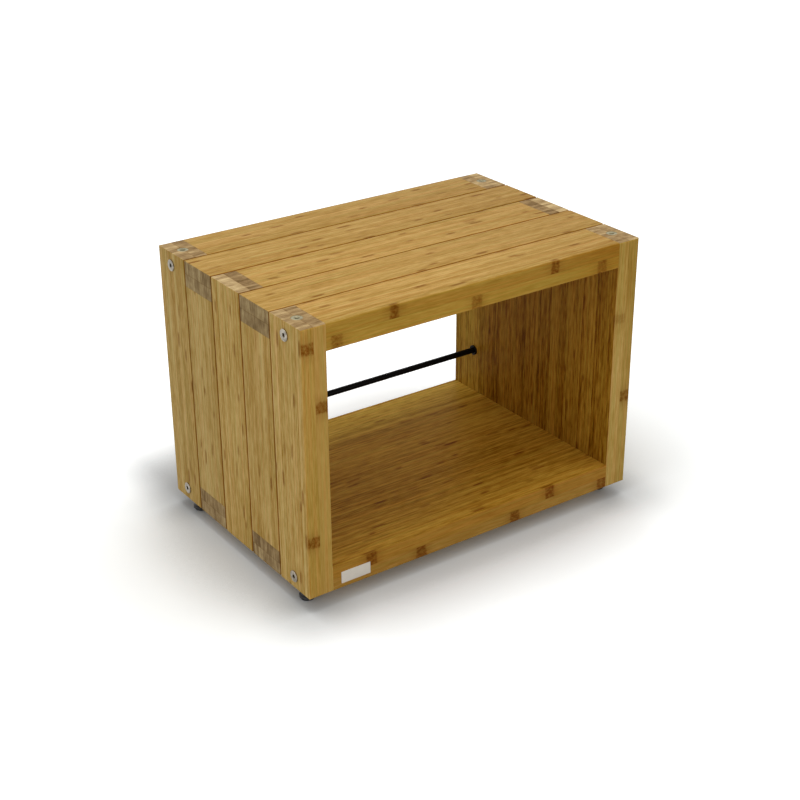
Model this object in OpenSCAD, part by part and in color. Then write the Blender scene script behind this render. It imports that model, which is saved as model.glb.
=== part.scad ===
// Record storage stand: an open box of laminated bamboo boards, built up from five layers
// that stand one behind the other. Long posts and long rails take turns from layer to layer,
// so the corners interlock like fingers. Width is along X, the front faces -Y, the floor is
// at Z = 0 and the origin lies on the floor under the middle of the body.

/* [Body] */
// Width of the wooden body, left to right
body_w = 600; // [500:10:900]
// Height of the wooden body, without its feet
body_h = 416; // [390:2:480]
// Depth of one layer, front to back
layer_d = 80; // [64:2:110]
// Thickness of every board
board_t = 40; // [38:1:50]
// Rounding of the outer edges that face front and back
edge_r = 3; // [0.5:0.1:4]
// Rounding of the outer edges that run front to back
corner_r = 1; // [0.5:0.1:1.8]
// Bevel round the front and rear mouths of the opening
mouth_bevel = 1; // [0.3:0.1:2]

/* [Side bolts] */
// Diameter of the bolt shank
bolt_d = 8; // [6:0.5:9]
// Length of the shank below the head
bolt_len = 60; // [54:1:63]
// Diameter of the flat head
bolt_head_d = 18; // [14:0.5:19]
// Thickness of the flat head, which lies on the wood
bolt_head_h = 2; // [1.6:0.1:3.5]
// Hexagon socket in the head, across its flats
bolt_hex = 6; // [4:0.5:6.5]
// Depth of the hexagon socket
bolt_hex_h = 3.6; // [1.5:0.1:5]

/* [Inserts] */
// Thread diameter of the inserts in the top
top_thread_d = 8; // [6:0.5:9]
// Thread diameter of the feet and of the inserts in the underside
foot_thread_d = 10; // [8:0.5:11]
// Wall of every insert round its thread
insert_wall = 2; // [1.6:0.1:2.4]
// Length of the inserts in the top and in the underside
insert_len = 12; // [10:0.5:12.5]
// Diameter of their flanges
flange_d = 17; // [16:0.5:24]
// Thickness of their flanges
flange_t = 1.5; // [1:0.1:3]
// Length of the inserts in the ends of the rails
rail_insert_len = 25; // [24:1:40]

/* [Dowels] */
// Diameter of the dowels between two layers
layer_dowel_d = 8; // [6:0.5:12]
// Length of the dowels between two layers
layer_dowel_len = 40; // [24:1:44]
// Pitch of the dowels between two layers
layer_dowel_pitch = 110; // [70:1:115]
// Diameter of the corner dowels
corner_dowel_d = 10; // [6:0.5:12]
// Length of the corner dowels
corner_dowel_len = 50; // [30:1:60]
// From the face of a layer to the corner dowel's axis
corner_dowel_inset = 16; // [10:0.5:19]

/* [Stop rod] */
// Diameter of the rod across the back
rod_d = 10; // [6:0.5:14]
// From the rear face of the body to the rod's axis
rod_inset = 53; // [30:1:56]
// From the underside of the body to the rod's axis
rod_up = 117; // [80:1:200]
// Depth that the rod is let into each post
rod_seat = 20; // [8:1:30]
// Diameter of the collar at each end of the rod
collar_d = 17; // [16:0.5:26]
// Thickness of the collar
collar_t = 3; // [2:0.5:10]

/* [Plate] */
// Width of the bare plate on the front
plate_w = 50; // [20:1:120]
// Height of the bare plate
plate_h = 19; // [8:1:22]
// Thickness of the bare plate
plate_t = 1; // [0.9:0.1:3]
// From the left side of the body to the plate
plate_inset = 54; // [42:1:200]
// From the underside of the body to the plate
plate_up = 8; // [4:1:14]
// Depth of the pocket behind the plate
plate_seat = 0.8; // [0.3:0.1:0.9]

/* [Feet] */
// Height of the floor gap below the body, with the feet half way in their travel
foot_gap = 24; // [17:1:30]
// Diameter of the foot's base
foot_d = 24; // [22:1:38]
// Height of the foot's base
foot_base_h = 8; // [5:0.5:9]
// Height of the straight side of the base, below its cone
foot_rim_h = 4.5; // [2.5:0.1:4.9]
// Diameter of the rubber pad
pad_d = 20; // [12:1:21]
// Height that the pad stands below the base
pad_h = 3; // [1.5:0.1:3.5]
// Depth that the rubber pad is let into the base
pad_seat = 1.5; // [0.5:0.1:2]
// Floor of the base between the stud and the pad
stud_web = 1; // [0.5:0.1:1.5]
// Travel of each foot, up or down from its rest height
level_travel = 3; // [1:0.1:4.5]

/* [Clearances] */
// Room round a bolt shank in its hole through a post
bolt_play = 0.5; // [0.2:0.1:1]
// Room round an insert or a flange in the wood
insert_play = 0.1; // [0.02:0.02:0.3]
// Room round a dowel in its hole
dowel_play = 0.1; // [0.02:0.02:0.3]
// Room between a male and a female thread
thread_play = 0.06; // [0.02:0.01:0.1]
// Room round the rod in its holes and its collars
rod_play = 0.1; // [0.02:0.02:0.3]
// Room round the plate in its pocket
plate_play = 0.15; // [0.05:0.05:0.5]
// Depth that a flange lies below the wood
sunk = 0.3; // [0.1:0.1:0.8]
// Depth left free below an end in a blind hole
end_play = 0.5; // [0.2:0.1:1]

/* [Hidden] */
layer_names = ["front", "second", "middle", "fourth", "rear"];
board_names = ["left_post", "right_post", "top_rail", "bottom_rail"];
side_names = ["left", "right"];
foot_names = ["front_left", "front_right", "rear_left", "rear_right"];
foot_pieces = ["foot_stud", "foot_base", "foot_pad"];
dowel_names = ["front_layer_dowels", "second_layer_dowels", "third_layer_dowels", "fourth_layer_dowels"];

$fn = 64;
last = len(layer_names) - 1;
body_d = layer_d * len(layer_names);
left = -1;
right = 1;
low = -1;
high = 1;
half_w = body_w / 2;
half_d = body_d / 2;
bottom_z = foot_gap;
top_z = foot_gap + body_h;
mid_z = foot_gap + body_h / 2;
post_x = half_w - board_t / 2;
bolt_layers = [0, last];
// Flats in each rounded corner
arc_steps = 4;
// Overrun of every cutter past the face that it cuts
over = 1;
// Places of the dowels between two layers, in pitches from the middle of a board
dowel_rows = [-1, 0, 1];
// Bevel at the tip of a bolt or a stud
tip_bevel = 1;
// Depth of thread that holds a foot at rest; at the top of its travel the stud fills the insert
stud_grip = insert_len - level_travel;
// Lower end of the stud, inside the foot's base
stud_floor = pad_h + pad_seat + stud_web;
// Wall round the stud at the top of the base
foot_neck_wall = 3;
bamboo = [0.72, 0.55, 0.30];
bamboo_side = [0.62, 0.48, 0.26];
steel = [0.75, 0.76, 0.78];
zinc = [0.70, 0.70, 0.66];
beech = [0.86, 0.74, 0.56];
black = [0.08, 0.08, 0.08];
rubber_black = [0.13, 0.13, 0.13];
plate_white = [0.92, 0.92, 0.90];

// Front of layer i, its middle, and whether its posts run the full height
function layer_y(i) = -half_d + i * layer_d;
function layer_mid(i) = layer_y(i) + layer_d / 2;
function long_posts(i) = i % 2 == 0;
// Middle of the top or bottom rails, and the plane where short posts meet long rails
function rail_z(level) = mid_z + level * (body_h - board_t) / 2;
function rail_face_z(level) = mid_z + level * (body_h / 2 - board_t);
// Thread of the inserts in the top or in the underside
function insert_thread(level) = level == high ? top_thread_d : foot_thread_d;

// A quarter circle of radius r about c, from angle a
function quarter(c, r, a) =
    [for (k = [0 : arc_steps]) c + r * [cos(a + 90 * k / arc_steps), sin(a + 90 * k / arc_steps)]];

// A rectangle from lo to hi with corners of radius r
function rounded(lo, hi, r) = concat(
    quarter([hi[0] - r, hi[1] - r], r, 0),
    quarter([lo[0] + r, hi[1] - r], r, 90),
    quarter([lo[0] + r, lo[1] + r], r, 180),
    quarter([hi[0] - r, lo[1] + r], r, 270)
);

// Extrusions whose outline lies in the YZ plane or in the XZ plane
module along_x(length) { rotate([90, 0, 90]) linear_extrude(length, center = true) children(); }
module along_y(length) { rotate([90, 0, 0]) linear_extrude(length, center = true) children(); }

// A rod of length l about the point p, along X, Y or Z
module x_rod(p, d, l) { translate(p) rotate([0, 90, 0]) cylinder(d = d, h = l, center = true); }
module y_rod(p, d, l) { translate(p) rotate([90, 0, 0]) cylinder(d = d, h = l, center = true); }
module z_rod(p, d, l) { translate(p) cylinder(d = d, h = l, center = true); }

// The block that a whole layer is cut from, with its outer edges rounded
module layer_block(i) {
    y0 = layer_y(i);
    y1 = y0 + layer_d;
    intersection() {
        along_x(body_w) polygon(rounded([y0, bottom_z], [y1, top_z], edge_r));
        linear_extrude(top_z) polygon(rounded([-half_w, y0], [half_w, y1], edge_r));
        along_y(2 * body_d) polygon(rounded([-half_w, bottom_z], [half_w, top_z], corner_r));
    }
}

// Box between two corners
module block(lo, hi) { translate(lo) cube(hi - lo); }

// Flared cutter that bevels the mouth of the opening; face is -1 at the front, 1 at the rear
module mouth(face) {
    y_out = face * (half_d + over);
    y_in = face * (half_d - mouth_bevel);
    flare = mouth_bevel + over;
    half_open = half_w - board_t;
    intersection() {
        linear_extrude(top_z) polygon([[-half_open, y_in], [half_open, y_in],
            [half_open + flare, y_out], [-half_open - flare, y_out]]);
        along_x(body_w) polygon([[y_in, rail_face_z(low)], [y_in, rail_face_z(high)],
            [y_out, rail_face_z(high) + flare], [y_out, rail_face_z(low) - flare]]);
    }
}

module mouths(i) {
    if (i == 0) mouth(-1);
    if (i == last) mouth(1);
}

// Two dowels, or their holes, that join a post to a rail at one corner of layer i
module corner_pins(i, side, level, d, l) {
    for (dy = [-1, 1]) {
        y = layer_mid(i) + dy * (layer_d / 2 - corner_dowel_inset);
        if (long_posts(i)) x_rod([side * (half_w - board_t), y, rail_z(level)], d, l);
        else z_rod([side * post_x, y, rail_face_z(level)], d, l);
    }
}

// Dowels, or their holes, that join the posts of layers j and j + 1 on one side
module post_pins(j, side, d, l) {
    for (k = dowel_rows)
        y_rod([side * post_x, layer_y(j + 1), mid_z + k * layer_dowel_pitch], d, l);
}

// Dowels, or their holes, that join the rails of layers j and j + 1 at the top or bottom
module rail_pins(j, level, d, l) {
    for (k = dowel_rows)
        y_rod([k * layer_dowel_pitch, layer_y(j + 1), rail_z(level)], d, l);
}

// The layer joints that layer i touches: the one before it and the one behind it
function joints_of(i) = [for (j = [i - 1, i]) if (j >= 0 && j < last) j];

// Points outwards through the side, at a bolt of layer i
module at_bolt(i, side, level) {
    translate([side * half_w, layer_mid(i), rail_z(level)]) rotate([0, side * 90, 0]) children();
}

// Points outwards through the top or the underside, at an insert of layer i
module at_insert(i, side, level) {
    translate([side * post_x, layer_mid(i), mid_z + level * body_h / 2])
        rotate([level == high ? 0 : 180, 0, 0]) children();
}

// Hole through a post for a side bolt
module bolt_hole() {
    translate([0, 0, -board_t - over]) cylinder(d = bolt_d + 2 * bolt_play, h = board_t + 2 * over);
}

// Hole in the end of a post for the flanged insert of a thread
module insert_hole(thread_d) {
    depth = insert_len + sunk + end_play;
    translate([0, 0, -depth])
        cylinder(d = thread_d + 2 * insert_wall + 2 * insert_play, h = depth + over);
    translate([0, 0, -flange_t - sunk])
        cylinder(d = flange_d + 2 * insert_play, h = flange_t + sunk + over);
}

// Hole in the end of a rail for its insert, long enough for the bolt's tip
module rail_insert_hole() {
    depth = max(rail_insert_len, bolt_len - board_t) + end_play;
    translate([0, 0, -board_t - depth])
        cylinder(d = bolt_d + 2 * insert_wall + 2 * insert_play, h = depth + over);
}

// Holes in the post of layer i on one side
module post_holes(i, side) {
    for (j = joints_of(i))
        post_pins(j, side, layer_dowel_d + 2 * dowel_play, layer_dowel_len + 2 * end_play);
    for (level = [low, high]) {
        corner_pins(i, side, level, corner_dowel_d + 2 * dowel_play, corner_dowel_len + 2 * end_play);
        if (i == 0 || i == last) {
            at_bolt(i, side, level) bolt_hole();
            at_insert(i, side, level) insert_hole(insert_thread(level));
        }
    }
    if (i == last)
        x_rod([side * (half_w - board_t), half_d - rod_inset, bottom_z + rod_up],
            rod_d + 2 * rod_play, 2 * (rod_seat + end_play));
}

// Holes in the top or bottom rail of layer i
module rail_holes(i, level) {
    for (j = joints_of(i))
        rail_pins(j, level, layer_dowel_d + 2 * dowel_play, layer_dowel_len + 2 * end_play);
    for (side = [left, right]) {
        corner_pins(i, side, level, corner_dowel_d + 2 * dowel_play, corner_dowel_len + 2 * end_play);
        if (i == 0 || i == last) at_bolt(i, side, level) rail_insert_hole();
    }
    if (i == 0 && level == low) plate_pocket();
}

// Post of layer i
module post(i, side) {
    reach = long_posts(i) ? body_h / 2 + over : body_h / 2 - board_t;
    inner = side * (half_w - board_t);
    outer = side * (half_w + over);
    color(i % 2 == 0 ? bamboo_side : bamboo)
    difference() {
        intersection() {
            layer_block(i);
            block([min(inner, outer), layer_y(i) - over, mid_z - reach],
                [max(inner, outer), layer_y(i) + layer_d + over, mid_z + reach]);
        }
        mouths(i);
        post_holes(i, side);
    }
}

// Top or bottom rail of layer i
module rail(i, level) {
    reach = long_posts(i) ? half_w - board_t : half_w + over;
    inner = rail_face_z(level);
    outer = mid_z + level * (body_h / 2 + over);
    color(i % 2 == 0 ? bamboo : bamboo_side)
    difference() {
        intersection() {
            layer_block(i);
            block([-reach, layer_y(i) - over, min(inner, outer)],
                [reach, layer_y(i) + layer_d + over, max(inner, outer)]);
        }
        mouths(i);
        rail_holes(i, level);
    }
}

// Flat-headed bolt with a hexagon socket, the underside of its head at the origin
module side_bolt() {
    rim = 0.6;
    head_r = bolt_head_d / 2;
    socket_d = bolt_hex / cos(30);
    color(steel)
    difference() {
        rotate_extrude() polygon([
            [0, bolt_head_h], [head_r - rim, bolt_head_h], [head_r, bolt_head_h - rim], [head_r, 0],
            [bolt_d / 2, 0], [bolt_d / 2, tip_bevel - bolt_len],
            [bolt_d / 2 - tip_bevel, -bolt_len], [0, -bolt_len]
        ]);
        translate([0, 0, bolt_head_h - bolt_hex_h])
            cylinder(d = socket_d, h = bolt_hex_h + over, $fn = 6);
    }
}

module side_bolts(side) {
    for (i = bolt_layers)
        for (level = [low, high])
            at_bolt(i, side, level) side_bolt();
}

// Plain inserts that the side bolts screw into
module rail_inserts(side) {
    color(zinc)
    for (i = bolt_layers)
        for (level = [low, high])
            at_bolt(i, side, level)
                translate([0, 0, -board_t - rail_insert_len])
                    difference() {
                        cylinder(d = bolt_d + 2 * insert_wall, h = rail_insert_len);
                        translate([0, 0, -over])
                            cylinder(d = bolt_d + 2 * thread_play, h = rail_insert_len + 2 * over);
                    }
}

// Flanged insert of a thread, its flange's face at the origin, pointing outwards
module flanged_insert(thread_d) {
    bevel = 0.5;
    r = thread_d / 2 + thread_play;
    outer_r = thread_d / 2 + insert_wall;
    color(zinc)
    rotate_extrude() polygon([
        [r, -insert_len], [outer_r, -insert_len], [outer_r, -flange_t],
        [flange_d / 2, -flange_t], [flange_d / 2, 0], [r + bevel, 0], [r, -bevel]
    ]);
}

module flanged_inserts(level) {
    for (i = bolt_layers)
        for (side = [left, right])
            at_insert(i, side, level)
                translate([0, 0, -sunk]) flanged_insert(insert_thread(level));
}

// All dowels between posts and rails
module corner_dowels() {
    color(beech)
    for (i = [0 : last])
        for (side = [left, right])
            for (level = [low, high])
                corner_pins(i, side, level, corner_dowel_d, corner_dowel_len);
}

// Dowels between layers j and j + 1
module layer_dowels(j) {
    color(beech) {
        for (side = [left, right]) post_pins(j, side, layer_dowel_d, layer_dowel_len);
        for (level = [low, high]) rail_pins(j, level, layer_dowel_d, layer_dowel_len);
    }
}

// Rod that keeps the records from sliding out at the back
module stop_rod() {
    color(black)
    x_rod([0, half_d - rod_inset, bottom_z + rod_up], rod_d, body_w - 2 * board_t + 2 * rod_seat);
}

// Collar that covers the rod's hole in one post
module rod_collar(side) {
    bevel = 0.8;
    bore_r = rod_d / 2 + rod_play;
    color(black)
    translate([side * (half_w - board_t), half_d - rod_inset, bottom_z + rod_up])
        rotate([0, -side * 90, 0])
            rotate_extrude() polygon([
                [bore_r, 0], [collar_d / 2, 0], [collar_d / 2, collar_t - bevel],
                [collar_d / 2 - bevel, collar_t], [bore_r, collar_t]
            ]);
}

// Bare plate on the front of the bottom rail, and the shallow pocket behind it
module plate_outline(grow) {
    x0 = -half_w + plate_inset;
    z0 = bottom_z + plate_up;
    polygon(rounded([x0 - grow, z0 - grow], [x0 + plate_w + grow, z0 + plate_h + grow], 1));
}

module plate_pocket() {
    translate([0, -half_d, 0]) along_y(2 * plate_seat) plate_outline(plate_play);
}

module name_plate() {
    color(plate_white)
    translate([0, -half_d + plate_seat - plate_t / 2, 0]) along_y(plate_t) plate_outline(0);
}

// Where foot k stands: its side and its row
function foot_side(k) = k % 2 == 0 ? left : right;
function foot_layer(k) = k < 2 ? 0 : last;
module at_foot(k) { translate([foot_side(k) * post_x, layer_mid(foot_layer(k)), 0]) children(); }

// Threaded stud of a foot, from inside the base up into the insert
module foot_stud() {
    top = bottom_z + sunk + stud_grip;
    r = foot_thread_d / 2;
    color(steel)
    rotate_extrude() polygon([
        [0, stud_floor], [r, stud_floor], [r, top - tip_bevel], [r - tip_bevel, top], [0, top]
    ]);
}

// Round base of a foot, with a cone on top and a recess for the pad below
module foot_base() {
    bevel = 1;
    r = foot_d / 2;
    neck_r = foot_thread_d / 2 + foot_neck_wall;
    shoulder = pad_h + foot_rim_h;
    top = pad_h + foot_base_h;
    color(black)
    difference() {
        rotate_extrude() polygon([
            [0, pad_h], [r - bevel, pad_h], [r, pad_h + bevel], [r, shoulder - bevel],
            [r - bevel, shoulder], [neck_r, top], [0, top]
        ]);
        translate([0, 0, pad_h - over])
            cylinder(d = pad_d + 2 * insert_play, h = pad_seat + over);
        translate([0, 0, stud_floor])
            cylinder(d = foot_thread_d + 2 * insert_play, h = foot_base_h + over);
    }
}

// Rubber pad below a foot
module foot_pad() {
    bevel = 0.6;
    color(rubber_black)
    rotate_extrude() polygon([
        [0, 0], [pad_d / 2 - bevel, 0], [pad_d / 2, bevel], [pad_d / 2, pad_h + pad_seat],
        [0, pad_h + pad_seat]
    ]);
}

for (i = [0 : last]) {
    post(i, left);
    post(i, right);
    rail(i, high);
    rail(i, low);
}
for (s = [0, 1]) {
    side = s == 0 ? left : right;
    side_bolts(side);
    rail_inserts(side);
    rod_collar(side);
}
flanged_inserts(high);  // top_inserts
flanged_inserts(low);  // underside_inserts
corner_dowels();
for (j = [0 : last - 1]) {
    layer_dowels(j);
}
stop_rod();
name_plate();
for (k = [0 : len(foot_names) - 1]) {
    at_foot(k) foot_stud();
    at_foot(k) foot_base();
    at_foot(k) foot_pad();
}
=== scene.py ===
import math

import bmesh
import bpy
from mathutils import Euler, Matrix, Vector


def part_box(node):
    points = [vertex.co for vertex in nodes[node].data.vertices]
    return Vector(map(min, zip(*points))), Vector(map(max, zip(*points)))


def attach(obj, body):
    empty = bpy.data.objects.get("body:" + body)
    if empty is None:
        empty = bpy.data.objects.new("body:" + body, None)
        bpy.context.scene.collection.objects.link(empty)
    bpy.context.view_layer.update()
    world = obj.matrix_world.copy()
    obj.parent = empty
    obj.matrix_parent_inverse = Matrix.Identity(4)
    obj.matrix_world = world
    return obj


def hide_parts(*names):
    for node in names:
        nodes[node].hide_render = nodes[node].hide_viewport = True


# A record storage stand: five layers of laminated bamboo boards on four levelling feet. The
# boards keep their CAD meshes; bolts, inserts, rod, collars, plate and feet are modelled here.
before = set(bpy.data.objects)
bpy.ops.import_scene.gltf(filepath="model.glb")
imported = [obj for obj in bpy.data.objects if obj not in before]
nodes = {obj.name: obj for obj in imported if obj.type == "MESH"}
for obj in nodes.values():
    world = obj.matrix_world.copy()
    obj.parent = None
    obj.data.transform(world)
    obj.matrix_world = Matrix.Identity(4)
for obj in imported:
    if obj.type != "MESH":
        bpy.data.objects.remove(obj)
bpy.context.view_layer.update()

MM = 0.001
BODY_W = 0.600
BODY_H = 0.416
BODY_D = 0.400
BODY_BOTTOM = 0.024
BODY_TOP = BODY_BOTTOM + BODY_H
LAYER_D = 0.080
BOARD_T = 0.040

# The same in millimetres, in which the pattern of the wood is written
LONG = BODY_W / MM
TALL = BODY_H / MM
DEEP = LAYER_D / MM
THICK = BOARD_T / MM
# Every board is glued up from strips, 13 side by side and 2 rows deep
STRIPS = 13
STRIP_MM = DEEP / STRIPS
ROW_MM = THICK / 2

LAYERS = ("front", "second", "middle", "fourth", "rear")
FRONT = 0
MIDDLE = 2
REAR = 4
SIDES = (("left", -1), ("right", 1))


# ---------------------------------------------------------------- shader building

class Wire:
    """The output of a shader node. Arithmetic on it adds Math nodes to its tree."""

    def __init__(self, tree, socket):
        self.tree = tree
        self.socket = socket

    def maths(self, operation, *others):
        node = self.tree.nodes.new("ShaderNodeMath")
        node.operation = operation
        for slot, value in zip(node.inputs, (self, *others)):
            plug(self.tree, value, slot)
        return Wire(self.tree, node.outputs[0])

    def __add__(self, other):
        return self.maths("ADD", other)

    def __sub__(self, other):
        return self.maths("SUBTRACT", other)

    def __mul__(self, other):
        return self.maths("MULTIPLY", other)

    def __truediv__(self, other):
        return self.maths("DIVIDE", other)

    def __rsub__(self, other):
        return self.maths("MULTIPLY_ADD", -1.0, other)

    def floor(self):
        return self.maths("FLOOR")

    def fract(self):
        return self.maths("FRACT")

    def abs(self):
        return self.maths("ABSOLUTE")

    def above(self, other):
        return self.maths("GREATER_THAN", other)

    def below(self, other):
        return self.maths("LESS_THAN", other)

    def most(self, other):
        return self.maths("MINIMUM", other)

    def least(self, other):
        return self.maths("MAXIMUM", other)

    def step(self, low, high, to_low=0.0, to_high=1.0):
        """A smooth step from to_low at low to to_high at high."""
        node = self.tree.nodes.new("ShaderNodeMapRange")
        node.interpolation_type = "SMOOTHSTEP"
        for name, value in (
            ("Value", self), ("From Min", low), ("From Max", high),
            ("To Min", to_low), ("To Max", to_high),
        ):
            plug(self.tree, value, node.inputs[name])
        return Wire(self.tree, node.outputs[0])

    def split(self):
        node = self.tree.nodes.new("ShaderNodeSeparateXYZ")
        plug(self.tree, self, node.inputs[0])
        return [Wire(self.tree, out) for out in node.outputs]


def plug(tree, value, slot):
    """Links a wire to a socket, or sets the socket's own value."""
    if isinstance(value, Wire):
        tree.links.new(value.socket, slot)
    else:
        slot.default_value = value


class Graph:
    """Short names for the nodes that the materials here are built from."""

    def __init__(self, tree):
        self.tree = tree

    def add(self, kind, out=0, ins=None, **settings):
        node = self.tree.nodes.new(kind)
        for name, value in settings.items():
            setattr(node, name, value)
        for name, value in (ins or {}).items():
            plug(self.tree, value, node.inputs[name])
        return Wire(self.tree, node.outputs[out])

    def vector(self, x, y, z):
        return self.add("ShaderNodeCombineXYZ", ins={0: x, 1: y, 2: z})

    def noise(self, place, scale=1.0, detail=1.0, rough=0.5):
        ins = {"Vector": place, "Scale": scale, "Detail": detail, "Roughness": rough}
        return self.add("ShaderNodeTexNoise", 0, ins)

    def white(self, x, y, z):
        """Three random numbers that stay the same as long as x, y and z do."""
        return self.add("ShaderNodeTexWhiteNoise", 1, {"Vector": self.vector(x, y, z)}).split()

    def dots(self, place, scale):
        return self.add("ShaderNodeTexVoronoi", 0, {"Vector": place, "Scale": scale})

    def pick(self, factor, a, b):
        """The number a where factor is 0, and b where it is 1."""
        node = self.tree.nodes.new("ShaderNodeMix")
        for slot, value in zip((node.inputs[0], node.inputs[2], node.inputs[3]), (factor, a, b)):
            plug(self.tree, value, slot)
        return Wire(self.tree, node.outputs[0])

    def blend(self, factor, a, b, how="MIX"):
        """The colour a where factor is 0, and b laid over it where it is 1."""
        node = self.tree.nodes.new("ShaderNodeMix")
        node.data_type = "RGBA"
        node.blend_type = how
        for slot, value in zip((node.inputs[0], node.inputs[6], node.inputs[7]), (factor, a, b)):
            plug(self.tree, value, slot)
        return Wire(self.tree, node.outputs[2])

    def ramp(self, factor, stops):
        node = self.tree.nodes.new("ShaderNodeValToRGB")
        plug(self.tree, factor, node.inputs[0])
        points = node.color_ramp.elements
        while len(points) < len(stops):
            points.new(0.5)
        for point, (position, colour) in zip(points, stops):
            point.position = position
            point.color = (*colour, 1.0)
        return Wire(self.tree, node.outputs[0])

    def bump(self, height, metres):
        ins = {"Height": height, "Distance": metres, "Strength": 1.0}
        return self.add("ShaderNodeBump", 0, ins)

    def rays(self, *names):
        """Wires that are 1 for the kinds of ray that are named."""
        node = self.tree.nodes.new("ShaderNodeLightPath")
        return [Wire(self.tree, node.outputs[name]) for name in names]


def new_material(name):
    """An empty material, its graph, and its Principled shader."""
    made = bpy.data.materials.new(name)
    made.use_nodes = True
    tree = made.node_tree
    tree.nodes.clear()
    shader = tree.nodes.new("ShaderNodeBsdfPrincipled")
    output = tree.nodes.new("ShaderNodeOutputMaterial")
    tree.links.new(shader.outputs[0], output.inputs[0])
    return made, Graph(tree), shader


# ---------------------------------------------------------------- bamboo

STRIP_COLOURS = (
    (0.00, (0.170, 0.062, 0.001)),
    (0.20, (0.300, 0.148, 0.012)),
    (0.44, (0.449, 0.258, 0.062)),
    (0.60, (0.555, 0.345, 0.108)),
    (1.00, (0.720, 0.500, 0.210)),
)
END_COLOURS = (
    (0.00, (0.100, 0.056, 0.018)),
    (0.35, (0.212, 0.134, 0.060)),
    (0.62, (0.318, 0.214, 0.102)),
    (1.00, (0.490, 0.365, 0.190)),
)
NODE_TINT = (0.44, 0.25, 0.04, 1.0)
GREENISH = (0.95, 1.01, 0.97, 1.0)
REDDISH = (1.05, 0.98, 0.99, 1.0)
GLUE_TINT = (0.55, 0.42, 0.22, 1.0)
# Painted shade for the grooves between the layers
GROOVE_SHADE_TINT = (0.56, 0.38, 0.18, 1.0)
BUNDLE_TINT = (0.42, 0.36, 0.32, 1.0)
# The pattern is read this far inside a board's faces, so that no strip starts beyond them
MARGIN_MM = 0.2


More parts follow.
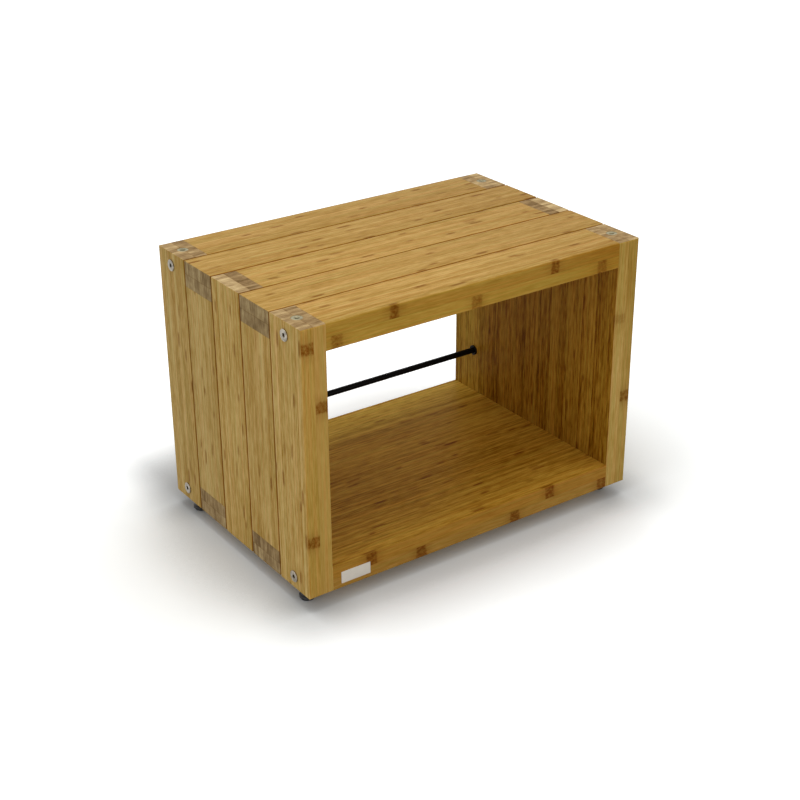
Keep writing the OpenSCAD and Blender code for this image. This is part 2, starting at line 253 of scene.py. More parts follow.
def bamboo_group():
    """Laminated bamboo in millimetres. Place is along the grain, in from the layer's front face,
    and in from the board's outer face. Out is the distance from the outside of the body, Joint
    from the next layer, and Butt from the end where the board meets another. End is 1 on cut
    ends, and Flat is 1 on the faces that look forward or back, where the strips show their
    flats. Outer strip and Inner strip are for the strips that face forward, one for each row:
    first node, spacing of the nodes, and tone. A spacing of 0 leaves all three to chance. Force
    is how strong the nodes of those strips are."""
    tree = bpy.data.node_groups.new("laminated_bamboo", "ShaderNodeTree")
    inputs = (
        ("Place", "Vector"), ("Seed", "Float"), ("End", "Float"), ("Flat", "Float"),
        ("Contrast", "Float"), ("Row gap", "Float"), ("Out", "Float"), ("Joint", "Float"),
        ("Butt", "Float"), ("Outer strip", "Vector"), ("Inner strip", "Vector"), ("Force", "Float"),
    )
    for name, kind in inputs:
        tree.interface.new_socket(name=name, in_out="INPUT", socket_type=f"NodeSocket{kind}")
    for name, kind in (("Colour", "Color"), ("Roughness", "Float"), ("Height", "Float")):
        tree.interface.new_socket(name=name, in_out="OUTPUT", socket_type=f"NodeSocket{kind}")
    inlet = tree.nodes.new("NodeGroupInput")
    outlet = tree.nodes.new("NodeGroupOutput")
    g = Graph(tree)
    (
        place, seed, end, flat, contrast, row_gap, out, joint, butt, outer_strip, inner_strip,
        force_known,
    ) = [Wire(tree, socket) for socket in inlet.outputs[:len(inputs)]]

    u, v, w = place.split()
    v = v.least(MARGIN_MM).most(DEEP - MARGIN_MM)
    w = w.least(MARGIN_MM).most(THICK - MARGIN_MM)
    strip = (v / STRIP_MM).floor()
    row = (w / ROW_MM).floor()
    shade, flip, pitch = g.white(strip + 0.5, row + 0.5, seed)
    phase, length, strength = g.white(strip + 40.5, row + 9.5, seed)
    board_tone = g.white(seed, 3.5, 8.5)[0]
    shift = seed * 13.7

    # Across one strip, from the skin side of the culm to its pith side, and across its width
    across = (v / STRIP_MM).fract()
    pith = g.pick(flip.above(0.5), across, 1.0 - across)
    wide = (w / ROW_MM).fract() - 0.5

    # Forward strips whose tone and nodes are known
    first_known, pitch_known, tone_known = g.blend(row, outer_strip, inner_strip).split()
    known = v.below(STRIP_MM) * pitch_known.above(1.0)
    shade = g.pick(known, shade, tone_known)

    # Fibres: fine lines, short streaks, broader bands, and a slow drift along the board
    fine = g.noise(g.vector(u * 0.035, v * 1.6, w * 1.6 + shift), detail=2.0)
    short = g.noise(g.vector(u * 0.045, v * 0.34, w * 0.34 + shift), detail=3.0, rough=0.6)
    band = g.noise(g.vector(u * 0.012, v * 0.42, w * 0.34 + shift), detail=3.0, rough=0.62)
    drift = g.noise(g.vector(u * 0.008, v * 0.03, w * 0.03 + shift), detail=1.0)
    tone = (shade - 0.5) * 0.26 + (pith - 0.5) * 0.12 + (fine - 0.5) * 0.50
    tone = tone + (short - 0.5) * (0.95 - flat * 0.45) + (band - 0.5) * 0.62
    tone = tone + (drift - 0.5) * 0.25 + (board_tone - 0.5) * 0.06
    contrast = g.pick(flat, contrast, contrast.most(0.75))
    tone = tone * contrast + 0.5
    colour = g.ramp(tone, STRIP_COLOURS)
    hue = g.noise(g.vector(u * 0.004, v * 0.55, w * 0.30 + shift + 31.0), detail=2.0)
    colour = g.blend(1.0, colour, g.blend(hue.step(0.38, 0.62), GREENISH, REDDISH), "MULTIPLY")

    # Nodes: a mottled patch on the flat of a strip, a soft dash along its edge
    spacing = g.pick(known, pitch * 140.0 + 210.0, pitch_known)
    first = g.pick(known, phase * spacing, first_known)
    ragged = g.noise(g.vector(u * 0.05, v * 1.1, w * 0.30 + shift), detail=2.0) - 0.5
    ragged = ragged * (16.0 - flat * 10.0)
    slant = wide * (flip - 0.5) * (14.0 - flat * 10.0)
    cycle = (u - first + ragged + slant) / spacing
    off = ((cycle + 0.5).fract() - 0.5) * spacing
    away = off.abs()
    speck = g.noise(g.vector(u * 0.30, v * 0.42, w * 0.42 + shift), detail=2.0, rough=0.6)
    blotch = g.noise(g.vector(u * 0.15, v * 0.2, w * 0.22 + shift), detail=3.0, rough=0.7)
    half = length * 2.0 + 7.0
    core = away.step(half - 2.5, half + 2.5, 1.0, 0.0) * ((blotch - 0.5) * 2.0 + 0.58).least(0.15)
    patch = core + away.step(half - 1.0, half + 19.0, 0.30, 0.0) * (blotch * 0.8 + speck * 0.8 + 0.1)
    reach = length * 7.0 + 6.0
    dash = away.step(reach - 5.0, reach + 4.0, 1.0, 0.0) * pith.step(0.45, 1.0, 1.0, 0.30)
    dash = dash * (fine * 0.8 + 0.35)
    force = g.pick(known, strength.step(0.15, 1.05), force_known)
    mark = (g.pick(flat, dash, patch) * force).most(1.0)
    colour = g.blend(mark, colour, NODE_TINT, "MULTIPLY")

    # Glue lines between the strips and between the two rows
    inside = v.step(0.8, 1.6) * v.step(78.4, 79.2, 1.0, 0.0)
    beside = (across - 0.5).abs() * -STRIP_MM + STRIP_MM / 2
    glue = beside.step(0.08, 0.32, 1.0, 0.0) * inside
    glue = glue.least((w - ROW_MM).abs().step(0.08, 0.32, 1.0, 0.0))
    colour = g.blend(glue * 0.55, colour, GLUE_TINT, "MULTIPLY")

    # End grain: fibre bundles as dots, dense on the skin side, and streaks through each strip
    bundles = g.dots(g.vector(v, w, shift), 1.35)
    dot = bundles.step(0.22, 0.42, 1.0, 0.0) * (1.15 - pith * 0.8)
    thin = g.noise(g.vector(v * 0.50, w * 0.06, shift), detail=3.0, rough=0.65)
    cloud = g.noise(g.vector(v * 0.09, w * 0.07, shift), detail=1.0)
    cut = (shade - 0.5) * 0.42 + (thin - 0.5) * 1.05 + (cloud - 0.5) * 0.5
    cut = cut + (0.5 - row) * row_gap + 0.52
    cut_colour = g.ramp(cut, END_COLOURS)
    cut_colour = g.blend(dot * 0.4, cut_colour, BUNDLE_TINT, "MULTIPLY")
    row_seam = (w - ROW_MM).abs().step(0.35, 1.1, 1.0, 0.0)
    cut_colour = g.blend((glue * 0.5).least(row_seam * 0.35), cut_colour, GLUE_TINT, "MULTIPLY")
    colour = g.blend(end, colour, cut_colour)

    # Painted shade darkens the groove between two layers, and a butt joint shows as a line
    groove_shade = out.step(0.10, 0.80) * out.below(5.0) * joint.step(2.0, 3.0, 1.0, 0.0)
    colour = g.blend(groove_shade, colour, GROOVE_SHADE_TINT, "MULTIPLY")
    seam = butt.step(0.12, 0.45, 1.0, 0.0) * (1.0 - end)
    colour = g.blend(seam * 0.7, colour, GLUE_TINT, "MULTIPLY")

    rough = (fine - 0.5) * 0.16 + mark * 0.05 + groove_shade * 0.2 + 0.44
    rough = g.pick(end, rough, 0.62)
    height = fine * 0.012 - glue * 0.02 - mark * 0.01
    height = g.pick(end, height, 0.0 - dot * 0.03 - glue * 0.02)
    for slot, value in zip(outlet.inputs, (colour, rough, height)):
        plug(tree, value, slot)
    return tree


BAMBOO = bamboo_group()

# The forward strips of the front boards, outer row and inner row: first node and spacing, in
# mm from the left end of a rail or the lower end of a post, and tone
FORWARD = {
    "left_post": ((91.0, 295.0, 0.32), (296.0, 330.0, 0.85)),
    "right_post": ((156.0, 330.0, 0.80), (291.0, 330.0, 0.55)),
    "top_rail": ((150.0, 285.0, 0.25), (57.0, 235.0, 0.75)),
    "bottom_rail": ((17.0, 178.0, 0.15), (107.0, 335.0, 0.45)),
}
# How strong the nodes of those strips are, outer row and inner row
FORCE = {
    "left_post": (0.95, 0.95),
    "right_post": (0.95, 0.45),
    "top_rail": (0.95, 0.75),
    "bottom_rail": (0.95, 0.95),
}
CONTRAST = {"left_post": 0.72, "right_post": 0.72, "top_rail": 0.62, "bottom_rail": 0.80}
INSIDE_CONTRAST = {"post": 1.40, "rail": 1.00}
# Tints: of the faces that look forward, outer row and inner row; of the outer sides and the top;
# of the inside, darker and redder as painted shade; and of the cut ends
FORWARD_TINT = {
    "left_post": ((0.905, 0.88, 0.64), (0.826, 0.785, 0.57)),
    "right_post": ((0.865, 0.895, 0.755), (1.04, 1.13, 1.18)),
    "top_rail": ((0.855, 0.77, 0.40), (0.91, 0.885, 0.49)),
    "bottom_rail": ((0.745, 0.668, 0.44), (0.71, 0.565, 0.258)),
}
FLAT_TINT = ((0.88, 0.82, 0.54), (0.86, 0.80, 0.52))
# On the posts' outer sides the tint is cooler: painted cool light from the pale surroundings
OUTSIDE_TINT_AND_SHEEN = {"post": (0.96, 1.04, 1.10), "rail": (0.98, 0.98, 0.915)}
# Painted light and shade: how bright the outer sides are, from the front layer to the rear one
OUTSIDE_LAYER_LIGHT = {
    "post": (1.04, 1.0, 1.04, 0.945, 0.95),
    "rail": (1.045, 0.995, 1.02, 0.968, 0.947),
}
# Painted shade: the inside is darker and redder than the outside
INSIDE_SHADE_TINT = {"post": (0.745, 0.595, 0.18), "rail": (0.92, 0.78, 0.28)}
# Painted light: the rear layer is paler inside, where light comes in from behind
REAR_INSIDE_LIGHT = (1.15, 1.30, 1.50)
# Painted shade: the top rails darken a little towards their right end. Their front faces darken more
# there
RIGHT_END_SHADE = (0.90, 0.88, 0.86, 1.0)
RIGHT_FRONT = (0.92, 0.83, 0.56, 1.0)
# The front faces of the right posts darken towards their upper end
UPPER_FRONT = (0.88, 0.85, 0.67, 1.0)
CUT_TINT = {
    "left_post": (1.42, 1.42, 1.38),
    "right_post": (1.42, 1.42, 1.38),
    "top_rail": (1.15, 1.21, 1.19),
    "bottom_rail": (1.05, 1.06, 1.03),
}
# How much lighter the outer row of strips is than the inner one, on cut ends
ROW_GAP = {"post": 0.12, "rail": 0.06}
MIDDLE_POST_ROW_GAP = 0.34
# A face looks along an axis where that part of its normal is above this
FACING = 0.7
NO_BUTT_MM = 100.0


def board_tint(g, layer, board, inward, inside, flat, end):
    """The tint of a board: outside, with painted light and shade; inside, with painted shade; on the
    faces forward and back; and on cut ends.
    """
    kind = "post" if board.endswith("post") else "rail"
    outer_tint, inner_tint = FORWARD_TINT[board] if layer == FRONT else FLAT_TINT
    flat_tint = g.blend(inward.above(ROW_MM), (*outer_tint, 1.0), (*inner_tint, 1.0))
    # Painted shade inside, lifted by painted light inside the rear layer
    inside_shade_tint = INSIDE_SHADE_TINT[kind]
    if layer == REAR:
        inside_shade_tint = tuple(a * b for a, b in zip(inside_shade_tint, REAR_INSIDE_LIGHT))
    outside_tint_and_light = tuple(OUTSIDE_LAYER_LIGHT[kind][layer] * part for part in OUTSIDE_TINT_AND_SHEEN[kind])
    tint = g.blend(inside, (*outside_tint_and_light, 1.0), (*inside_shade_tint, 1.0))
    tint = g.blend(flat, tint, flat_tint)
    return g.blend(end, tint, (*CUT_TINT[board], 1.0))


def board_material(layer, board, seed):
    """The bamboo of one board, placed by where the board is in the body."""
    made, g, shader = new_material(f"bamboo_{LAYERS[layer]}_{board}")
    x, y, z = g.add("ShaderNodeTexCoord", 3).split()
    turn_x, turn_y, turn_z = g.add("ShaderNodeNewGeometry", 3).split()
    across = (x + BODY_W / 2) / MM
    up = (z - BODY_BOTTOM) / MM
    back = (y + (BODY_D / 2 - layer * LAYER_D)) / MM
    is_post = board.endswith("post")
    if is_post:
        grain, cut, length = up, turn_z, TALL
        inward = across if board == "left_post" else LONG - across
    else:
        grain, cut, length = across, turn_x, LONG
        inward = up if board == "bottom_rail" else TALL - up
    kind = "post" if is_post else "rail"
    outside = across.most(LONG - across).most(up).most(TALL - up)
    inside = outside.above(THICK - 0.5)
    flat = turn_y.abs().above(FACING)
    end = cut.abs().above(FACING)
    joint = (DEEP - back) if layer == FRONT else back
    if FRONT < layer < REAR:
        joint = joint.most(DEEP - back)
    butts = is_post == (layer % 2 == 1)
    butt = (grain - THICK).most((length - THICK) - grain) if butts else NO_BUTT_MM
    middle_post = is_post and layer == MIDDLE
    group = g.tree.nodes.new("ShaderNodeGroup")
    group.node_tree = BAMBOO
    values = {
        "Place": g.vector(grain, back, inward),
        "Seed": float(seed),
        "End": end,
        "Flat": flat,
        "Contrast": g.pick(inside, CONTRAST[board], INSIDE_CONTRAST[kind]),
        "Row gap": MIDDLE_POST_ROW_GAP if middle_post else ROW_GAP[kind],
        "Out": outside,
        "Joint": joint,
        "Butt": butt,
        "Force": g.pick(inward.above(ROW_MM), *FORCE[board]),
    }
    for name, known in zip(("Outer strip", "Inner strip"), FORWARD[board]):
        values[name] = known if layer == FRONT else (0.0, 0.0, 0.0)
    for name, value in values.items():
        plug(g.tree, value, group.inputs[name])
    colour, rough, height = [Wire(g.tree, out) for out in group.outputs]
    tint = board_tint(g, layer, board, inward, inside, flat, end)
    colour = g.blend(1.0, colour, tint, "MULTIPLY")
    if board == "top_rail":
        # Painted shade towards the right end of the top rails
        colour = g.blend(across.step(180.0, 620.0), colour, RIGHT_END_SHADE, "MULTIPLY")
        colour = g.blend(across.step(400.0, 560.0) * flat, colour, RIGHT_FRONT, "MULTIPLY")
    if board == "right_post":
        colour = g.blend(up.step(200.0, 400.0) * flat, colour, UPPER_FRONT, "MULTIPLY")
    plug(g.tree, colour, shader.inputs["Base Color"])
    plug(g.tree, rough, shader.inputs["Roughness"])
    plug(g.tree, g.bump(height, MM), shader.inputs["Normal"])
    shader.inputs["IOR"].default_value = 1.5
    shader.inputs["Specular IOR Level"].default_value = 0.03
    return made


def wear(obj, made):
    """Gives every face of an object one material."""
    obj.data.materials.clear()
    obj.data.materials.append(made)


FIRST_SEED = 3
LAYER_SEEDS = 5
for layer, layer_name in enumerate(LAYERS):
    for place, board in enumerate(FORWARD):
        seed = FIRST_SEED + LAYER_SEEDS * layer + place
        wear(nodes[f"{layer_name}_{board}"], board_material(layer, board, seed))


# ---------------------------------------------------------------- other materials

def metal(name, colour, rough, metallic=1.0, spread=0.10, dull=0.82, shine=0.5):
    """A metal or a painted metal: uneven sheen and fine grain."""
    made, g, shader = new_material(name)
    place = g.add("ShaderNodeTexCoord", 3)
    smudge = g.noise(place, 160.0, 3.0)
    speck = g.noise(place, 900.0, 2.0)
    tint = tuple(dull * c for c in colour)
    mixed = g.blend(smudge.step(0.35, 0.65), (*colour, 1.0), (*tint, 1.0))
    plug(g.tree, mixed, shader.inputs["Base Color"])
    plug(g.tree, (smudge - 0.5) * spread + (speck - 0.5) * spread + rough, shader.inputs["Roughness"])
    plug(g.tree, g.bump(speck, 0.000004), shader.inputs["Normal"])
    shader.inputs["Metallic"].default_value = metallic
    shader.inputs["Specular IOR Level"].default_value = shine
    return made


def moulded(name, colour, rough, grain, depth):
    """A moulded plastic or rubber: dark, with a fine texture from the mould."""
    made, g, shader = new_material(name)
    place = g.add("ShaderNodeTexCoord", 3)
    texture = g.noise(place, grain, 2.0)
    bloom = g.noise(place, 90.0, 3.0)
    pale = tuple(1.7 * c for c in colour)
    mixed = g.blend(bloom.step(0.40, 0.75), (*colour, 1.0), (*pale, 1.0))
    plug(g.tree, mixed, shader.inputs["Base Color"])
    plug(g.tree, (bloom - 0.5) * 0.2 + rough, shader.inputs["Roughness"])
    plug(g.tree, g.bump(texture, depth), shader.inputs["Normal"])
    return made


def beech():
    """Dowel wood: pale, with short flecks. The dowels lie along any axis, so it has no grain
    direction of its own."""
    made, g, shader = new_material("dowel_beech")
    place = g.add("ShaderNodeTexCoord", 3)
    fleck = g.noise(place, 700.0, 3.0)
    cloud = g.noise(place, 60.0, 2.0)
    tone = (fleck - 0.5) * 0.6 + (cloud - 0.5) * 0.8 + 0.5
    stops = ((0.0, (0.42, 0.25, 0.12)), (0.5, (0.60, 0.40, 0.21)), (1.0, (0.74, 0.55, 0.33)))
    plug(g.tree, g.ramp(tone, stops), shader.inputs["Base Color"])
    plug(g.tree, (fleck - 0.5) * 0.2 + 0.6, shader.inputs["Roughness"])
    plug(g.tree, g.bump(fleck, 0.00004), shader.inputs["Normal"])
    return made


def plate_finish():
    """Pale brushed metal, its fine lines running along the plate."""
    made, g, shader = new_material("plate_brushed")
    place = g.add("ShaderNodeTexCoord", 3)
    x, y, z = place.split()
    lines = g.noise(g.vector(x * 40.0, y * 4000.0, z * 9000.0), 1.0, 2.0)
    cloud = g.noise(place, 70.0, 2.0)
    tone = (lines - 0.5) * 0.5 + (cloud - 0.5) * 0.5 + 0.5
    stops = ((0.0, (0.60, 0.54, 0.46)), (0.5, (0.68, 0.62, 0.53)), (1.0, (0.76, 0.71, 0.62)))
    plug(g.tree, g.ramp(tone, stops), shader.inputs["Base Color"])
    plug(g.tree, (lines - 0.5) * 0.2 + 0.42, shader.inputs["Roughness"])
    plug(g.tree, g.bump(lines, 0.00001), shader.inputs["Normal"])
    return made


STEEL = metal("bolt_nickel", (0.50, 0.445, 0.365), 0.15, spread=0.08, dull=0.55)
ZINC = metal("insert_zinc", (0.43, 0.39, 0.25), 0.55, dull=0.7)
ROD_PAINT = metal("rod_satin_black", (0.004, 0.004, 0.0045), 0.38, metallic=0.0, shine=0.08)
FOOT_PLASTIC = moulded("foot_black_plastic", (0.016, 0.016, 0.017), 0.42, 1600.0, 0.00002)
RUBBER = moulded("pad_rubber", (0.022, 0.022, 0.022), 0.78, 900.0, 0.00005)
BEECH = beech()
PLATE = plate_finish()

wear(nodes["corner_dowels"], BEECH)
for joint in ("front", "second", "third", "fourth"):
    wear(nodes[f"{joint}_layer_dowels"], BEECH)
for side_name, side in SIDES:
    wear(nodes[f"{side_name}_rail_inserts"], ZINC)


# ---------------------------------------------------------------- turned pieces

def turn(rings, steps=48):
    """A closed solid of revolution about Z, in millimetres. A ring is (radius, z); its radius is
    a number or a function of the angle. A radius of 0 closes the shape with one point, and a
    shape without such points closes on itself, like a washer."""
    bm = bmesh.new()
    made = []
    for radius, z in rings:
        if radius == 0:
            made.append([bm.verts.new((0, 0, z * MM))])
            continue
        ring = []
        for k in range(steps):
            angle = 2 * math.pi * k / steps
            r = radius(angle) if callable(radius) else radius
            ring.append(bm.verts.new((r * math.cos(angle) * MM, r * math.sin(angle) * MM, z * MM)))
        made.append(ring)
    pairs = list(zip(made, made[1:]))
    if len(made[0]) > 1:
        pairs.append((made[-1], made[0]))
    for low, high in pairs:
        for k in range(steps):
            following = (k + 1) % steps
            corners = [low[k % len(low)], low[following % len(low)]]
            corners += [high[following % len(high)], high[k % len(high)]]
            corners = list(dict.fromkeys(corners))
            if len(corners) > 2:
                bm.faces.new(corners)
    return bm


def hexagon(across_flats):
    """The radius of a hexagon as a function of the angle."""
    def radius(angle):
        turned = angle % (math.pi / 3) - math.pi / 6
        return across_flats / 2 / math.cos(turned)
    return radius


RINGS_A_TURN = 8


def thread(outer, depth, pitch, z_from, z_to, fade=1.0):
    """Rings of a screw thread from z_from to z_to, with flat crests and roots. It fades out over
    a number of turns at both ends."""
    count = max(2, round(abs(z_to - z_from) / pitch * RINGS_A_TURN))
    rings = []
    for k in range(count + 1):
        z = z_from + (z_to - z_from) * k / count
        ends = min(1.0, abs(z - z_from) / (fade * pitch), abs(z_to - z) / (fade * pitch))

        def radius(angle, z=z, ends=ends):
            turns = (z / pitch - angle / (2 * math.pi)) % 1.0
            valley = 1.0 - abs(2.0 * turns - 1.0)
            return outer - depth * ends * min(1.0, max(0.0, 1.25 * valley - 0.125))
        rings.append((radius, z))
    return rings


def arc(centre_r, centre_z, radius, start, stop, count=4):
    """Rings along a fillet, from one angle to another in degrees, 0 pointing outwards."""
    rings = []
    for k in range(count + 1):
        angle = math.radians(start + (stop - start) * k / count)
        rings.append((centre_r + radius * math.cos(angle), centre_z + radius * math.sin(angle)))
    return rings


SHARP_EDGE = math.radians(32.0)


def finish_piece(name, parts, made, body, slot, *replaced):
    """Joins copies of bmeshes, each with its own matrix, into one piece that rides a body."""
    whole = bmesh.new()
    for bm, matrix in parts:
        mesh = bpy.data.meshes.new("part")
        bm.to_mesh(mesh)
        mesh.transform(matrix)
        whole.from_mesh(mesh)
        bpy.data.meshes.remove(mesh)
    bmesh.ops.recalc_face_normals(whole, faces=whole.faces)
    for face in whole.faces:
        face.smooth = True
    for edge in whole.edges:
        edge.smooth = edge.calc_face_angle(0.0) < SHARP_EDGE
    mesh = bpy.data.meshes.new(name)
    whole.to_mesh(mesh)
    whole.free()
    obj = bpy.data.objects.new(name, mesh)
    bpy.context.scene.collection.objects.link(obj)
    wear(obj, made)
    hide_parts(*replaced)
    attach(obj, body)


def facing(direction, place):
    """Turns local +Z to a direction and moves the origin to a place."""
    quaternion = Vector((0, 0, 1)).rotation_difference(Vector(direction))
    return Matrix.Translation(place) @ quaternion.to_matrix().to_4x4()


# Where the posts of the first and last layer are, and the heights of the side bolts
POST_X = 0.280
CORNER_YS = (-0.160, 0.160)
BOLT_ZS = (BODY_BOTTOM + BOARD_T / 2, BODY_TOP - BOARD_T / 2)
# The flanges of the inserts lie this far below the wood
SUNK = 0.0003

# Side bolts: a flat head that lies on the wood, with a hexagon socket, a plain shank and a
# threaded end. These and all sizes of turned pieces are in millimetres.
HEAD_R = 9.0
HEAD_H = 2.0
SOCKET = 6.0
BOLT_R = 4.0
BOLT_PITCH = 1.25
BOLT_LEN = 60.0
bolt = turn(
    [(0, -2.4), (hexagon(SOCKET), -1.6), (hexagon(SOCKET), 1.65), (3.85, HEAD_H)]
    + arc(HEAD_R - 0.5, HEAD_H - 0.5, 0.5, 90, 10)
    + [(HEAD_R, 1.2), (HEAD_R, 0.7)]
    + arc(8.6, 0.4, 0.4, 0, -90, 3)
    + [(4.5, 0), (4.1, -0.15), (BOLT_R, -0.5)]
    + thread(BOLT_R, 0.62, BOLT_PITCH, -33.6, 1.0 - BOLT_LEN)
    + [(3.1, -BOLT_LEN), (0, -BOLT_LEN)]
)
for side_name, side in SIDES:
    places = [
        (bolt, facing((side, 0, 0), (side * BODY_W / 2, y, z)))
        for y in CORNER_YS for z in BOLT_ZS
    ]
    finish_piece(
        f"{side_name}_side_bolts", places, STEEL, "carcase", "bolt_steel", f"{side_name}_bolts"
    )


INSERT_LEN = 12.0
FLANGE_T = 1.5
STACK_THREAD = (8.0, 1.25)
FOOT_THREAD = (10.0, 1.5)


def insert(major, pitch):
    """A flanged insert with a thread in its bore and a coarse thread outside."""
    bore = major / 2 + 0.06
    outer = major / 2 + 2.0
    return turn(
        [(bore, -INSERT_LEN), (bore + 1.6, -INSERT_LEN)]
        + thread(outer, 0.5, 2.5, -11.8, -2.0)
        + [(outer, -FLANGE_T), (8.3, -FLANGE_T)]
        + arc(8.25, -0.25, 0.25, 0, 90, 3)
        + [(bore + 0.5, 0), (bore, -0.5)]
        + thread(bore, 0.54 * pitch, pitch, -0.6, -11.9)
    )


places = [
    (insert(*STACK_THREAD), facing((0, 0, 1), (side * POST_X, y, BODY_TOP - SUNK)))
    for side_name, side in SIDES for y in CORNER_YS
]
finish_piece("top_insert_nuts", places, ZINC, "carcase", "zinc", "top_inserts")
places = [
    (insert(*FOOT_THREAD), facing((0, 0, -1), (side * POST_X, y, BODY_BOTTOM + SUNK)))
    for side_name, side in SIDES for y in CORNER_YS
]
finish_piece("underside_insert_nuts", places, ZINC, "carcase", "zinc", "underside_inserts")


# ---------------------------------------------------------------- rod, collars and plate

ROD_Y = BODY_D / 2 - 0.053
ROD_Z = BODY_BOTTOM + 0.117
ROD_HALF = 280.0
ROD_R = 5.0
ROD_END = 0.7

rod = turn(
    [(0, -ROD_HALF)] + arc(ROD_R - ROD_END, ROD_END - ROD_HALF, ROD_END, -90, 0)
    + [(ROD_R, z) for z in (-200.0, -100.0, 0.0, 100.0, 200.0)]
    + arc(ROD_R - ROD_END, ROD_HALF - ROD_END, ROD_END, 0, 90) + [(0, ROD_HALF)]
)
finish_piece(
    "black_stop_rod", [(rod, facing((1, 0, 0), (0, ROD_Y, ROD_Z)))], ROD_PAINT, "carcase",
    "black_metal", "stop_rod",
)
collar = turn(
    [(5.1, 0), (8.3, 0)] + arc(8.3, 0.2, 0.2, -90, 0, 2) + arc(7.6, 2.1, 0.9, 0, 90, 5)
    + [(5.5, 3.0), (5.1, 2.7)]
)
for side_name, side in SIDES:
    place = facing((-side, 0, 0), (side * (BODY_W / 2 - BOARD_T), ROD_Y, ROD_Z))
    finish_piece(
        f"{side_name}_collar", [(collar, place)], ROD_PAINT, "carcase", "black_metal",
        f"{side_name}_rod_collar",
    )


def rounded_plate(low, high, corner, bevel):
    """A thin plate between two corners, its outline rounded and its front edge bevelled."""
    half_w = (high.x - low.x) / 2
    half_h = (high.z - low.z) / 2
    centre = Vector(((high.x + low.x) / 2, 0, (high.z + low.z) / 2))
    bm = bmesh.new()
    loops = []
    for y, inset in (
        (high.y, 0), (low.y + bevel, 0), (low.y + 0.3 * bevel, 0.3 * bevel), (low.y, bevel)
    ):
        ring = []
        for sx, sz, start in ((1, 1, 0), (-1, 1, 90), (-1, -1, 180), (1, -1, 270)):
            for k in range(7):
                angle = math.radians(start + 15 * k)
                r = corner - inset
                x = sx * (half_w - corner) + r * math.cos(angle)
                z = sz * (half_h - corner) + r * math.sin(angle)
                ring.append(bm.verts.new((centre.x + x, y, centre.z + z)))
        loops.append(ring)
    for a, b in zip(loops, loops[1:]):
        for k in range(len(a)):
            following = (k + 1) % len(a)
            bm.faces.new((a[k], a[following], b[following], b[k]))
    bm.faces.new(loops[0])
    bm.faces.new(loops[-1])
    return bm


PLATE_CORNER = 0.001
PLATE_BEVEL = 0.00025
low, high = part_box("name_plate")
plate = rounded_plate(low, high, PLATE_CORNER, PLATE_BEVEL)
finish_piece(
    "bare_name_plate", [(plate, Matrix.Identity(4))], PLATE, "carcase", "plate", "name_plate"
)


# ---------------------------------------------------------------- feet

def ribbed(radius, count=36, depth=0.22):
    """A ring with fine grip ribs."""
    def at(angle):
        return radius - depth * (0.5 - 0.5 * math.cos(count * angle))
    return at


STUD_TOP = 33.3
stud = turn(
    [(0, 5.5), (4.4, 5.5)]
    + thread(5.0, 0.80, 1.5, 5.9, STUD_TOP - 1.0, fade=0.6)
    + [(4.0, STUD_TOP), (0, STUD_TOP)],
    steps=64,
)
base = turn(
    [(0, 4.5), (10.1, 4.5), (10.1, 3.3), (10.4, 3.0), (10.9, 3.0)]
    + arc(11.1, 3.9, 0.9, -90, -10)
    + [(ribbed(12.0), 4.2), (ribbed(12.0), 6.3)]
    + arc(11.2, 6.7, 0.8, 10, 70)
    + [(9.6, 8.35), (8.6, 9.6)]
    + arc(7.2, 10.2, 0.8, 10, 90)
    + [(5.5, 11.0), (5.1, 10.6), (5.1, 5.5), (0, 5.5)],
    steps=144,
)
pad = turn(
    [(0, 0.3), (3.0, 0.3), (3.3, 0), (5.3, 0), (5.6, 0.5), (6.4, 0.5), (6.7, 0), (8.9, 0)]
    + arc(9.0, 1.0, 1.0, -80, 0)
    + [(10.0, 4.5), (0, 4.5)],
    steps=72,
)
FOOT_PARTS = (
    ("stud", stud, STEEL, "bolt_steel", "foot_stud"),
    ("base", base, FOOT_PLASTIC, "black_plastic", "foot_base"),
    ("pad", pad, RUBBER, "rubber", "foot_pad"),
)
for row_name, y in zip(("front", "rear"), CORNER_YS):
    for side_name, side in SIDES:
        corner = f"{row_name}_{side_name}"
        place = Matrix.Translation((side * POST_X, y, 0))
        for part, shape, made, slot, node in FOOT_PARTS:
            finish_piece(
                f"{corner}_level_{part}", [(shape, place)], made, f"{corner}_foot", slot,
                f"{corner}_{node}",
            )


# ---------------------------------------------------------------- floor, light and camera

FLOOR_SIZE = 40.0
SHADOW_REACH = 0.45


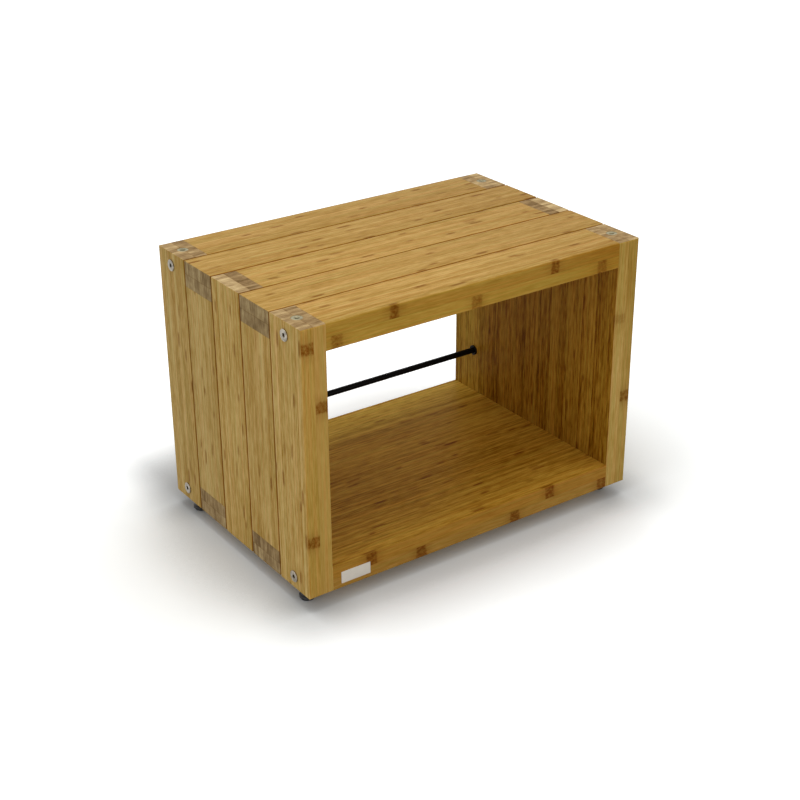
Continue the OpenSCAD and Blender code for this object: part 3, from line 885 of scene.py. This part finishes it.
def make_floor():
    """A pale floor that shows as white to the camera and keeps the shadow. The colour that the
    camera sees is darkened near the body, which adds to the shadow that the lamps cast."""
    bpy.ops.mesh.primitive_plane_add(size=FLOOR_SIZE, location=(0, 0, 0))
    floor = bpy.context.object
    floor.name = "studio_floor"
    made = bpy.data.materials.new("studio_floor")
    made.use_nodes = True
    tree = made.node_tree
    tree.nodes.clear()
    g = Graph(tree)
    seen, mirrored = g.rays("Is Camera Ray", "Is Glossy Ray")
    open_sky = g.add("ShaderNodeAmbientOcclusion", "AO", {"Distance": SHADOW_REACH}, samples=16)
    level = g.pick(mirrored, 0.80, 1.0)
    contact = open_sky.step(0.54, 0.80, 0.78, 1.16) + open_sky.step(0.80, 1.0, 0.0, 0.25)
    contact = contact + open_sky.step(0.96, 1.0, 0.0, 0.20)
    # The shadow is deeper at the corners, and reaches furthest behind the left rear corner
    x, y = g.add("ShaderNodeTexCoord", 3).split()[:2]
    beside = x.abs() - BODY_W / 2
    beyond = y.abs() - BODY_D / 2
    corner = (beside * beside + beyond * beyond).maths("SQRT").step(0.0, 0.10, 0.26, 0.0)
    behind = y.step(0.12, 0.26) * y.step(0.28, 0.44, 1.0, 0.0)
    to_left = x.step(-0.36, -0.27) * x.step(-0.20, 0.06, 0.50, 0.0)
    contact = contact * (1.0 - corner) * (1.0 - behind * to_left)
    level = g.pick(seen, level, contact)
    shown = g.add("ShaderNodeBsdfDiffuse", 0, {"Color": g.vector(level * 0.98, level, level)})
    output = tree.nodes.new("ShaderNodeOutputMaterial")
    plug(tree, shown, output.inputs[0])
    wear(floor, made)


def make_world():
    """White to the camera and in reflections; a dimmer even light for everything else."""
    world = bpy.data.worlds.new("studio")
    world.use_nodes = True
    tree = world.node_tree
    tree.nodes.clear()
    g = Graph(tree)
    seen, mirrored, passed = g.rays("Is Camera Ray", "Is Glossy Ray", "Is Transmission Ray")
    direct = seen.least(mirrored).least(passed)
    height = g.add("ShaderNodeTexCoord", 0).split()[2]
    dome = height.least(0.0) * 0.75 + 0.20
    strength = g.pick(direct, dome, 1.0)
    back = g.add("ShaderNodeBackground", 0, {"Color": (1.0, 1.0, 1.0, 1.0), "Strength": strength})
    output = tree.nodes.new("ShaderNodeOutputWorld")
    plug(tree, back, output.inputs[0])
    bpy.context.scene.world = world


def soft_light(name, place, target, size, power):
    """A square lamp of a size in metres and a power in watts, turned to a target."""
    data = bpy.data.lights.new(name, "AREA")
    data.shape = "SQUARE"
    data.size = size
    data.energy = power
    lamp = bpy.data.objects.new(name, data)
    aim = Vector(target) - Vector(place)
    lamp.matrix_world = Matrix.Translation(place) @ aim.to_track_quat("-Z", "Y").to_matrix().to_4x4()
    lamp.visible_camera = False
    bpy.context.scene.collection.objects.link(lamp)


# The camera that the body's straight edges were fitted with: place in metres, turn in degrees
CAMERA_PLACE = (-1.240557, -1.764799, 1.223923)
CAMERA_TURN = (64.08392509, 0.33770048, -35.23972646)
CAMERA_LENS = 68.62143


def make_camera():
    """The camera at the photograph's viewing angle."""
    data = bpy.data.cameras.new("camera")
    data.sensor_width = 36.0
    data.lens = CAMERA_LENS
    data.clip_start = 0.05
    data.clip_end = 100.0
    camera = bpy.data.objects.new("camera", data)
    camera.location = CAMERA_PLACE
    camera.rotation_euler = Euler([math.radians(angle) for angle in CAMERA_TURN], "XYZ")
    bpy.context.scene.collection.objects.link(camera)
    bpy.context.scene.camera = camera


make_floor()
make_world()
soft_light("overhead", (-0.15, 0.0, 2.2), (0, 0, 0.3), 0.9, 10.0)
soft_light("left_side", (-2.60, -0.35, 0.75), (0, 0, 0.25), 1.2, 6.4)
soft_light("front_side", (0.0, -2.44, 1.14), (0, 0, 0.25), 1.2, 7.0)
make_camera()
bpy.context.scene.view_settings.view_transform = "Standard"
